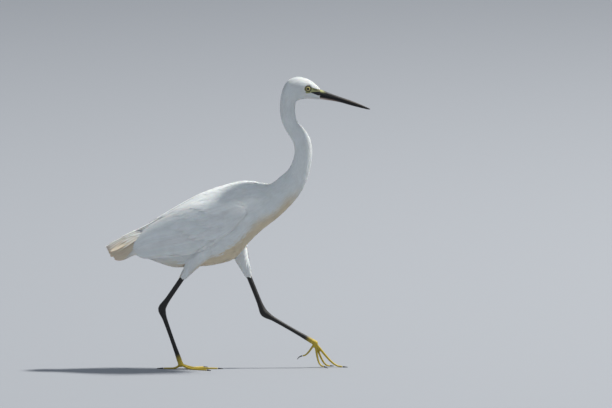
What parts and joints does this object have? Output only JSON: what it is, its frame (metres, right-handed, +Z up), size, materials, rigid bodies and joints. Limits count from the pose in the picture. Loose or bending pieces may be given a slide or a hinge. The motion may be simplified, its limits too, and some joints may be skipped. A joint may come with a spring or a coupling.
{
  "type": "little egret figure",
  "caption": "Life-size standing little egret in mid-stride: long S-shaped neck, slender dagger bill, folded wings, long legs with spread toes.",
  "frame": {"origin": "on the floor, midway along the length between the tail tip and the bill tip, on the body's plane of symmetry", "axes": "+X towards the bill, +Y towards the bird's left side, +Z up"},
  "size_m": [0.4232, 0.09, 0.468],
  "materials": {
    "plumage": "soft white feathers",
    "bill": "smooth black horn",
    "legs": "black scaly skin",
    "toes": "yellow scaly skin",
    "claws": "dark horn",
    "eyes": "glossy eye with a yellow iris"
  },
  "bodies": {
    "root": {"head": "plumage", "neck_upper": "plumage", "neck_middle": "plumage", "neck_lower": "plumage", "trunk": "plumage", "tail": "plumage", "wing_right": "plumage", "wing_left": "plumage", "wing_tip_right": "plumage", "wing_tip_left": "plumage", "thigh_right": "plumage", "thigh_left": "plumage", "bill_upper": "bill", "bill_lower": "bill", "eye_right": "eyes", "eye_left": "eyes", "tibia_right": "legs", "tibia_left": "legs", "tarsus_right": "legs", "tarsus_left": "legs", "foot_right": "toes", "foot_left": "toes", "claw_right_middle": "claws", "claw_right_inner": "claws", "claw_right_outer": "claws", "claw_right_hind": "claws", "claw_left_middle": "claws", "claw_left_inner": "claws", "claw_left_outer": "claws", "claw_left_hind": "claws"}
  },
  "joints": []
}
